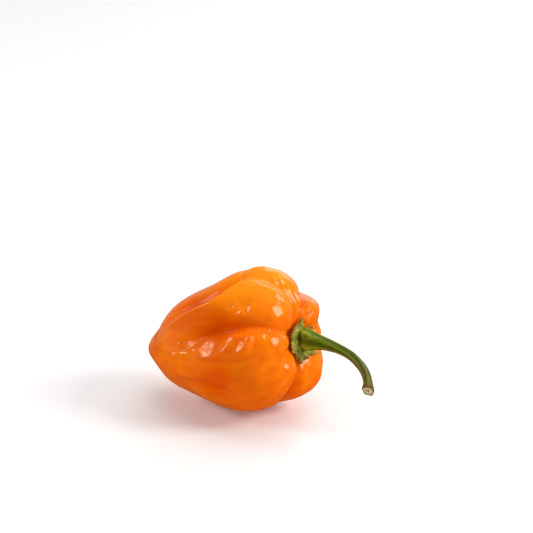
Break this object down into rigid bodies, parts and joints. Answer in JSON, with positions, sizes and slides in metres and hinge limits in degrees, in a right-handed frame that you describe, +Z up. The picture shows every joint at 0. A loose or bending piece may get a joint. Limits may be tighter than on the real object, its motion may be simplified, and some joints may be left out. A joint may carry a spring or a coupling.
{
  "type": "habanero pepper",
  "caption": "Lantern-shaped lobed orange hot pepper lying on its side, with a ragged calyx and a curved green stem.",
  "frame": {"origin": "middle of the small flat spot that the pod rests on, right under its weight", "axes": "+Z up, +X from the pod's tip towards its stem in the plan view, -Y towards the side that shows the deep front furrow"},
  "size_m": [0.0719, 0.0378, 0.0384],
  "materials": {
    "fruit_skin": "waxy gloss, ripe orange skin",
    "calyx_leaf": "matte, drying olive green",
    "stem_bark": "satin, ribbed green"
  },
  "bodies": {
    "root": {"fruit": "fruit_skin", "calyx": "calyx_leaf", "stem": "stem_bark"}
  },
  "joints": []
}
